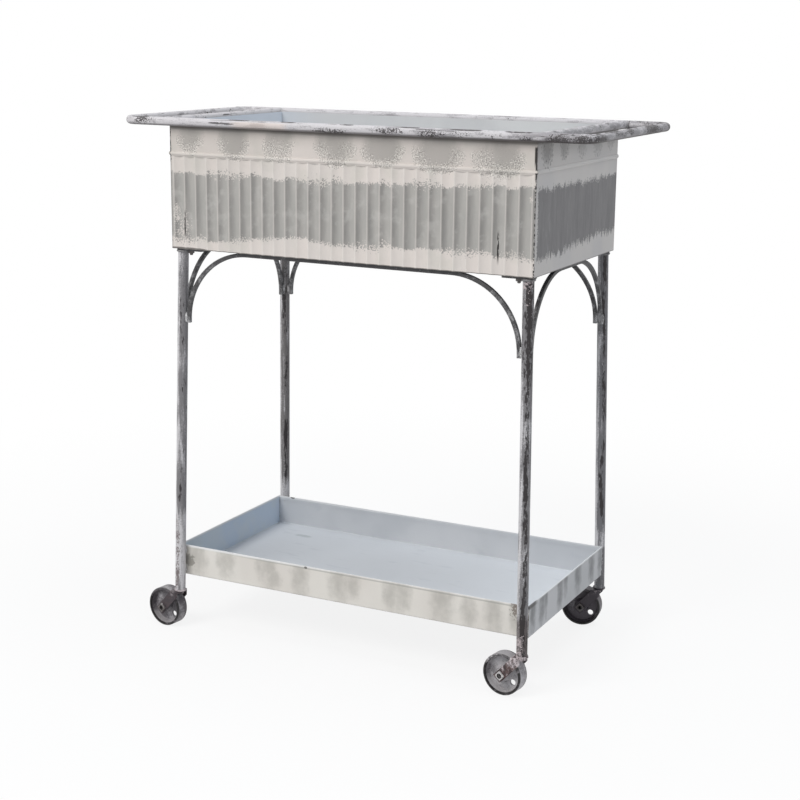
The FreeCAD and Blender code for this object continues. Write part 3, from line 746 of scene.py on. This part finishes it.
def leg_paint():
    """Leg tubes: wash rubbed thin, a light left edge, black streaks, and feet that are bare or pale."""
    b, place, normal = new_finish("leg_paint", gloss=0.35)
    x, y, z = b.split(place)
    nx, ny = b.split(normal)[:2]
    turned = nx * 0.89 + ny * 0.45
    right, back, front_right, front_left = corner_shares(x, y)

    lit_edge = turned.fade(-0.3, -0.85)
    up_the_leg = b.join(b.math("SIGN", x) * 3, b.math("SIGN", y) * 5, z)
    sway = b.drift(b.stretch(up_the_leg, 1, 1, 7), detail=2) * 2.4
    core = turned.near(sway + front_right.scaled(0.22, 0.06), 0.66, 0.14)
    worn = b.patches(0.38, 0.62, b.stretch(up_the_leg, 1, 1, 11))
    share = 0.36 + front_right * 0.38 + back * 0.3
    pale_foot = b.either(front_left * z.fade(0.23, 0.17), back * z.between(0.13, 0.136, 0.15, 0.18))
    bare_foot = front_right * z.fade(0.132, 0.112)
    dark_top = front_right * z.fade(0.45, 0.48)
    cover = (core * worn.scaled(0.35, 1.3) * share + bare_foot * 0.3
             + dark_top * turned.fade(-0.9, -0.4).scaled(0.3, 0.46) - pale_foot * 0.45)
    grains = b.drift(b.stretch(place, 420, 420, 90), rough=0.68)
    coarse = back.scaled(2.3, 1.7) + front_right * 0.5
    black = (cover + grains * coarse).fade(0.42, 0.62)

    wash = 0.36 + lit_edge * 0.38 + pale_foot * 0.42
    wash = wash - back * 0.16 - worn * front_left.scaled(0.14, 0.22) - dark_top * 0.34
    tone = b.coat(back, (122, 120, 122), b.coat(right, (113, 110, 110), (111, 110, 113)))
    iron = washed_iron(b, place, (210, 210, 16), (202, 200, 202), tone, (62, 55, 54), wash,
                       front_left.scaled(0.05, 0.16))
    colour = b.coat(bare_foot, iron["Color"], (74, 60, 57), 0.7)
    rusty = pale_foot * front_left * turned.fade(0.35, -0.35).scaled(0.22, 0.62)
    rust = flakes(b, place, 420, rusty) * rusty.fade(0.05, 0.15)
    colour = b.coat(rust, colour, (84, 68, 66), 0.8)
    colour = b.coat(black, colour, (36, 31, 32), 0.92)
    flecked = b.either(bare_foot * z.fade(0.112, 0.08) * turned.fade(0.65, -0.25),
                       bare_foot * turned.fade(-0.1, -0.6) * 0.6, front_right * z.fade(0.53, 0.572) * 0.6)
    flecks = flakes(b, place, 380, flecked * 0.85) * flecked.fade(0.05, 0.2)
    colour = b.coat(flecks, colour, (196, 184, 185), 0.8)
    height = iron["Height"] - black * 0.4
    return finish_surface(b, colour, iron["Roughness"], height, IRON_RELIEF)


def brace_paint():
    """Arched braces and corner plates: dark grey with a light dry brushing of wash on the faces, and less
    wash near the top under the trough as painted shade.
    """
    b, place, normal = new_finish("brace_paint", gloss=0.35)
    z = b.split(place)[2]
    nx, ny = b.split(normal)[:2]
    face = b.reach(nx, ny).fade(0.5, 0.95)
    foot = z.fade(BRACE_FOOT_Z + 0.02, BRACE_FOOT_Z + 0.004)
    # Less wash just under the trough: painted shade.
    wash = face.scaled(0.12, 0.34) + foot * 0.3 - z.fade(0.575, 0.588) * 0.24
    iron = washed_iron(b, place, (90, 90, 90), (150, 149, 150), (70, 69, 70), (42, 40, 40), wash, 0.12)
    return finish_surface(b, *iron.values(), IRON_RELIEF)


def weld_paint():
    """Welds: lumpy metal with the wash caught on it, grey in the pits, and darker under the trough."""
    b, place, _ = new_finish("weld_paint", gloss=0.35)
    away = b.split(place)[2].near(0.59, 0.02, 0.06)
    iron = washed_iron(b, place, (260, 260, 260), (206, 205, 205), (122, 120, 121), (64, 59, 58),
                       away.scaled(0.16, 0.62), 0.2)
    return finish_surface(b, *iron.values(), WELD_RELIEF)


def fastener_steel():
    """Nuts, bolts and studs: dull steel, pale where the wash caught the flats, with less wash as painted
    shade on the back right and front left casters.
    """
    b, place, _ = new_finish("fastener_steel", gloss=0.45)
    x, y, z = b.split(place)
    # Less wash on the nuts of the back right and front left casters: painted shade.
    low = z.fade(0.3, 0.1) * caster_shade_share(b, x, y).fade(0.75, 0.15)
    iron = washed_iron(b, place, (180, 180, 180), (200, 197, 196), (96, 90, 88), (46, 42, 41),
                       low.scaled(0.05, 0.62), 0.12)
    spot = b.group(CASTER_PLACE, Place=place)
    axle_end = spot["Radius"].fade(0.0042, 0.0037) * abs(spot["Side"]).fade(0.014, 0.015)
    colour = b.coat(axle_end, iron["Color"], (34, 31, 31), z.fade(0.07, 0.06))
    return finish_surface(b, colour, iron["Roughness"], iron["Height"], PAINT_RELIEF)


def caster_iron():
    """Forks, sockets and stems: brown-black iron, rusty on the arms, washed pink-grey at the crown, and
    darker with painted shade on the back right and front left casters.
    """
    b, place, _ = new_finish("caster_iron", gloss=0.4)
    x, y, z = b.split(place)
    # Darker iron and less wash on the back right and front left casters: painted shade.
    dark = caster_shade_share(b, x, y)
    lip = corner_shares(x, y)[3] * z.fade(0.0616, 0.062)
    wash = z.fade(0.037, 0.058).scaled(0.1, 0.6) - dark.fade(0, 0.45) * 0.42 + lip * 0.7
    rust = b.patches(0.42, 0.62, place, 160)
    tone = b.coat(rust * (1 - dark), (56, 46, 47), (84, 66, 64))
    tone = b.coat(dark, tone, (62, 56, 62))
    iron = washed_iron(b, place, (200, 200, 120), (198, 188, 190), tone, (38, 32, 32), wash, 0.22)
    return finish_surface(b, *iron.values(), IRON_RELIEF)


def wheel_iron():
    """Cast wheels: washed grey dish and tread, a dark ring where the rim has rubbed bare, painted shade in
    the dish and on the back right and front left wheels, and a painted highlight low inside the rim.
    """
    b, place, _ = new_finish("wheel_iron", gloss=0.4)
    x, y = b.split(place)[:2]
    spot = b.group(CASTER_PLACE, Place=place)
    radius, rise, ahead = spot["Radius"], spot["Rise"], spot["Ahead"]
    # Darker iron and less wash on the back right and front left wheels: painted shade.
    dark = caster_shade_share(b, x, y)
    face = abs(spot["Side"]).fade(0.0076, 0.0088)
    ring = radius.fade(0.026, 0.0267) * face
    tread = radius.fade(0.0298, 0.0306)
    dish = 1 - b.either(face, tread)
    wash = tread.scaled(0.6, 0.62) - dark * 0.52 + tread * rise.fade(0.012, 0.026) * 0.25 - ring * 0.75
    tone = b.coat(dark, (115, 112, 114), (90, 84, 90))
    iron = washed_iron(b, place, (46, 46, 46), (181, 178, 180), tone, (38, 36, 37), wash,
                       ring.scaled(0.06, 0.26))
    # Painted shade in the dish next to the rim, most in its upper part.
    shadowed = (rise - ahead).fade(-0.018, 0.014).scaled(0.1, 0.6)
    well = radius.fade(0.019, 0.0262) * dish * shadowed * dark.scaled(0.45, 1.4)
    colour = b.coat(well, iron["Color"], (62, 57, 61))
    # A painted highlight on the lower inside of the rim, which faces up.
    lit = radius.fade(0.0222, 0.024) * dish * rise.fade(-0.008, -0.016) * dark.fade(1, 0.5)
    colour = b.coat(lit, colour, (186, 183, 184), 0.5)
    rubbed = ring * b.patches(0.3, 0.46, place, 130, rough=0.6)
    colour = b.coat(rubbed, colour, (28, 26, 27), rise.fade(0.022, 0.01).scaled(0.45, 1))
    flaky = ring * rise.fade(0.004, 0.016) * ahead.fade(0.012, -0.004) * dark.fade(0.4, 0)
    flaked = flakes(b, place, 420, flaky * 0.6) * flaky.fade(0.05, 0.2)
    colour = b.coat(flaked, colour, (204, 200, 201), 0.8)
    return finish_surface(b, colour, iron["Roughness"], iron["Height"], IRON_RELIEF)


def bushing_brass():
    """The wheel bushings: dull brass gone brown."""
    b, place, _ = new_finish("bushing_brass", gloss=0.5)
    b.feed(b.shader.inputs["Metallic"], 1)
    tarnish = b.patches(0.4, 0.64, place, 240)
    colour = b.coat(tarnish, (176, 142, 86), (96, 74, 46))
    return finish_surface(b, colour, tarnish.scaled(0.38, 0.62), tarnish, BRASS_RELIEF)


# Each finish with what the names of its solids start with. The first start that fits counts.
FINISHES = [
    (fluted_panel_paint(), ("trough_front_panel", "trough_back_panel")),
    (end_panel_paint(), ("trough_left_panel", "trough_right_panel")),
    (trough_floor_paint(), ("trough_floor",)),
    (tray_paint(), ("tray",)),
    (rim_paint("rim_rod_paint", True), ("rim_rod_front", "rim_rod_back")),
    (rim_paint("handle_paint", False), ("rim_rod_left", "rim_rod_right", "handle_")),
    (leg_paint(), ("leg_",)),
    (brace_paint(), ("brace_", "corner_plate_")),
    (fastener_steel(), ("plate_studs", "plate_nuts", "axle_")),
    (caster_iron(), ("caster_fork_", "stem_socket_", "swivel_stem_")),
    (bushing_brass(), ("wheel_bushing_",)),
    (wheel_iron(), ("wheel_",)),
]


def paint_solids():
    """Gives every solid its finish."""
    for name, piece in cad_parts.items():
        finish = next(finish for finish, starts in FINISHES if name.startswith(starts))
        for material_slot in piece.material_slots:
            material_slot.material = finish


def add_to_scene(name, data):
    thing = bpy.data.objects.new(name, data)
    bpy.context.scene.collection.objects.link(thing)
    return thing


def add_piece(name, mesh, material):
    """Closes a bmesh into a piece of the cart."""
    bmesh.ops.remove_doubles(mesh, verts=mesh.verts, dist=1e-6)
    bmesh.ops.recalc_face_normals(mesh, faces=mesh.faces)
    for face in mesh.faces:
        face.smooth = True
    data = bpy.data.meshes.new(name)
    mesh.to_mesh(data)
    mesh.free()
    data.materials.append(material)
    piece = add_to_scene(name, data)
    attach(piece, "cart")


def leg_point(sx, sy, z):
    """The middle of a leg tube at a height."""
    share = (LEG_TOP.z - z) / (LEG_TOP.z - LEG_FOOT.z)
    point = LEG_TOP.lerp(LEG_FOOT, share)
    return Vector((sx * point.x, sy * point.y, z))


def lay_bead(mesh, start, end, radius, ripples, dice):
    """A weld bead: a ring drawn from start to end that swells with each ripple."""
    rings_per_ripple, swell, unevenness, size = 3, 0.16, 0.08, 0.4
    start, end = Vector(start), Vector(end)
    heading = (end - start).normalized()
    turn = heading.to_track_quat("Z", "Y").to_matrix().to_4x4()
    steps = ripples * rings_per_ripple
    step = (end - start) / steps
    made = bmesh.ops.create_circle(mesh, cap_ends=True, segments=10, radius=radius * size,
                                   matrix=Matrix.Translation(start) @ turn)
    face = made["verts"][0].link_faces[0]
    laid = list(made["verts"])
    for number in range(1, steps + 1):
        drawn = bmesh.ops.extrude_face_region(mesh, geom=[face])["geom"]
        ring = [v for v in drawn if isinstance(v, bmesh.types.BMVert)]
        face = next(f for f in drawn if isinstance(f, bmesh.types.BMFace))
        end_taper = math.sin(math.pi * min(max(number / steps, 0.10), 0.90)) ** 0.5
        ripple = swell * math.cos(number * math.tau / rings_per_ripple)
        wanted = end_taper * (1.0 + ripple + dice.uniform(-unevenness, unevenness))
        bmesh.ops.translate(mesh, vec=step, verts=ring)
        middle = start + step * number
        growth = Vector((1, 1, 1)) * (wanted / size)
        bmesh.ops.scale(mesh, vec=growth, space=Matrix.Translation(-middle), verts=ring)
        size = wanted
        laid += ring
    laid = [v for v in laid if v.is_valid]
    bmesh.ops.smooth_vert(mesh, verts=laid, factor=0.25, use_axis_x=True, use_axis_y=True, use_axis_z=True)


def ring_bead(mesh, centre, axis, ring_radius, radius, dice):
    """A weld that runs all the way round a tube."""
    ripples, swell, unevenness = 13, 0.14, 0.05
    axis = axis.normalized()
    side = axis.orthogonal().normalized()
    turn = Matrix((side, axis, side.cross(axis))).transposed().to_4x4()
    made = bmesh.ops.create_circle(mesh, segments=8, radius=radius,
                                   matrix=Matrix.Translation(centre + side * ring_radius) @ turn)
    edges = list({e for v in made["verts"] for e in v.link_edges})
    bmesh.ops.spin(mesh, geom=made["verts"] + edges, cent=centre, axis=axis, angle=math.tau, steps=40,
                   use_merge=True)
    ring = [v for v in mesh.verts if (v.co - centre).length < ring_radius + 3 * radius]
    for vert in ring:
        out = vert.co - centre
        out -= axis * out.dot(axis)
        angle = math.atan2(out.dot(axis.cross(side)), out.dot(side))
        core = centre + out.normalized() * ring_radius
        size = 1.0 + swell * math.sin(ripples * angle + 0.7) + dice.uniform(-unevenness, unevenness)
        vert.co = core + (vert.co - core) * size


# Weld beads: how thick, with how many ripples, how far off the middle of a bar or leg, and how high.
LEG_BEAD, LEG_BEAD_DROP = 0.0016, 0.0012
BRACE_BEAD, TRAY_BEAD, RIM_BEAD = (0.0021, 5), (0.0017, 4), (0.0019, 4)
BRACE_BEADS_OUT = (-0.0028, 0.0028)
TRAY_BEADS_OUT = (-0.0045, 0.0045)
TRAY_BEAD_HEIGHTS = ((0.091, 0.103), (0.120, 0.1335))
BRACE_BEAD_LOW, BRACE_BEAD_HIGH = BRACE_FOOT_Z + 0.001, BRACE_FOOT_Z + 0.016
RIM_BEAD_LOW, RIM_BEAD_HIGH = ROD_Z - 0.006, ROD_Z + 0.005
BEAD_GAP = 0.0006
BRACE_BEAD_GAPS = (BEAD_GAP, 0.0002)
ROD_TOUCH = ROD_RADIUS * 0.92


def make_welds():
    """The welds at the corners of the rim, the tops of the legs, the feet of the braces and the tray."""
    finish = weld_paint()
    dice = random.Random(7)
    for corner, (sx, sy) in CORNERS.items():
        lean = leg_point(sx, sy, 0.59) - leg_point(sx, sy, 0.60)
        mesh = bmesh.new()
        middle = leg_point(sx, sy, PLATE_BOTTOM - LEG_BEAD_DROP)
        ring_bead(mesh, middle, lean, LEG_RADIUS + BEAD_GAP, LEG_BEAD, dice)
        add_piece("leg_weld_" + corner, mesh, finish)

        mesh = bmesh.new()
        for out in BRACE_BEADS_OUT:
            x, y = sx * (BRACE_SIDE_X + out), sy * (BRACE_FRONT_Y + out)
            low_x, high_x = [sx * (BRACE_HALF_SPAN + gap) for gap in BRACE_BEAD_GAPS]
            low_y, high_y = [sy * (BRACE_HALF_DEPTH + gap) for gap in BRACE_BEAD_GAPS]
            lay_bead(mesh, (low_x, y, BRACE_BEAD_LOW), (high_x, y, BRACE_BEAD_HIGH), *BRACE_BEAD, dice)
            lay_bead(mesh, (x, low_y, BRACE_BEAD_LOW), (x, high_y, BRACE_BEAD_HIGH), *BRACE_BEAD, dice)
        add_piece("brace_weld_" + corner, mesh, finish)

        mesh = bmesh.new()
        y = sy * (TRAY_HALF_DEPTH + BEAD_GAP)
        for out in TRAY_BEADS_OUT:
            for low, high in TRAY_BEAD_HEIGHTS:
                x = leg_point(sx, sy, low).x + out
                lay_bead(mesh, (x, y, low), (x, y, high), *TRAY_BEAD, dice)
        add_piece("tray_weld_" + corner, mesh, finish)

        mesh = bmesh.new()
        y = sy * (LONG_ROD_Y - ROD_TOUCH)
        for side in (-1, 1):
            x = sx * (END_ROD_X + side * ROD_TOUCH)
            lay_bead(mesh, (x, y, RIM_BEAD_LOW), (x, y, RIM_BEAD_HIGH), *RIM_BEAD, dice)
        add_piece("rim_weld_" + corner, mesh, finish)


# The photograph's view, from a camera fitted to the corners of the cart.
CAMERA_PLACE = (1.09022, -2.15153, 0.93708)
YAW, PITCH, ROLL = math.radians(26.605), math.radians(13.215), math.radians(0.594)
FOCAL_PIXELS = 1601.96
PHOTO_PIXELS = 800
SENSOR_WIDTH = 36


def make_camera():
    """A long lens a little above the rim, to the right of the front."""
    ahead = Vector((-math.sin(YAW) * math.cos(PITCH), math.cos(YAW) * math.cos(PITCH), -math.sin(PITCH)))
    right = Vector((math.cos(YAW), math.sin(YAW), 0))
    up = right.cross(ahead)
    tilted_right = right * math.cos(ROLL) + up * math.sin(ROLL)
    tilted_up = up * math.cos(ROLL) - right * math.sin(ROLL)
    data = bpy.data.cameras.new("camera")
    data.sensor_width = SENSOR_WIDTH
    data.lens = FOCAL_PIXELS * SENSOR_WIDTH / PHOTO_PIXELS
    camera = add_to_scene("camera", data)
    turn = Matrix((tilted_right, tilted_up, -ahead)).transposed().to_4x4()
    camera.matrix_world = Matrix.Translation(CAMERA_PLACE) @ turn
    bpy.context.scene.camera = camera


def make_lamp(name, place, target, size, power, colour):
    data = bpy.data.lights.new(name, "AREA")
    data.shape = "DISK"
    data.size = size
    data.energy = power
    data.color = colour
    lamp = add_to_scene(name, data)
    lamp.location = place
    lamp.rotation_euler = (Vector(target) - Vector(place)).to_track_quat("-Z", "Y").to_euler()


def seen_directly(b):
    """1 for rays from the camera, and for those that a gloss or glass sends on."""
    path = b.levels(b.node("ShaderNodeLightPath").outputs)
    return b.either(path["Is Camera Ray"], path["Is Glossy Ray"], path["Is Transmission Ray"])


WHITE = (1, 1, 1, 1)
SKY_LIGHT, SKY_POWER = (0.90, 0.945, 1.0, 1), 0.42
FLOOR_GREY = (0.86, 0.86, 0.86, 1)
FLOOR_SIZE = 30
SHADOW_NEAR, SHADOW_FAR, SHADOW_GLOW = 0.35, 1.6, 0.86


def make_studio():
    """A white room: soft light from the front left, a pale floor that keeps the shadow."""
    world = bpy.data.worlds.new("studio")
    bpy.context.scene.world = world
    b = fresh_bench(world)
    seen = seen_directly(b)
    light = {"Color": b.coat(seen, SKY_LIGHT, WHITE), "Strength": seen.scaled(SKY_POWER, 1.0)}
    sky = b.wired(b.node("ShaderNodeBackground"), light)
    b.feed(b.node("ShaderNodeOutputWorld").inputs["Surface"], sky)

    make_lamp("key", (-1.1, -2.8, 3.2), (0, 0, 0.45), size=2.0, power=93, colour=(1.0, 0.98, 0.958))
    make_lamp("top", (0.8, 0.0, 3.2), (0, 0, 0.5), size=2.0, power=34, colour=(0.94, 0.975, 1.0))

    mesh = bmesh.new()
    bmesh.ops.create_grid(mesh, x_segments=2, y_segments=2, size=FLOOR_SIZE)
    data = bpy.data.meshes.new("studio_floor")
    mesh.to_mesh(data)
    mesh.free()
    material = bpy.data.materials.new("studio_floor")
    b = fresh_bench(material)
    matt = b.wired(b.node("ShaderNodeBsdfDiffuse"), {"Color": FLOOR_GREY})
    glow = b.wired(b.node("ShaderNodeEmission"), {"Color": WHITE})
    x, y = b.split(b.coordinates()[0])[:2]
    away = b.reach(x, y).fade(SHADOW_NEAR, SHADOW_FAR)
    share = seen_directly(b) * away.scaled(SHADOW_GLOW, 1.0)
    blend = b.wired(b.node("ShaderNodeMixShader"), (share, matt, glow))
    b.feed(b.node("ShaderNodeOutputMaterial").inputs["Surface"], blend)
    data.materials.append(material)
    floor = add_to_scene("studio_floor", data)
    bpy.context.scene.view_settings.view_transform = "Standard"


paint_solids()
make_welds()
make_camera()
make_studio()

bpy.context.view_layer.update()
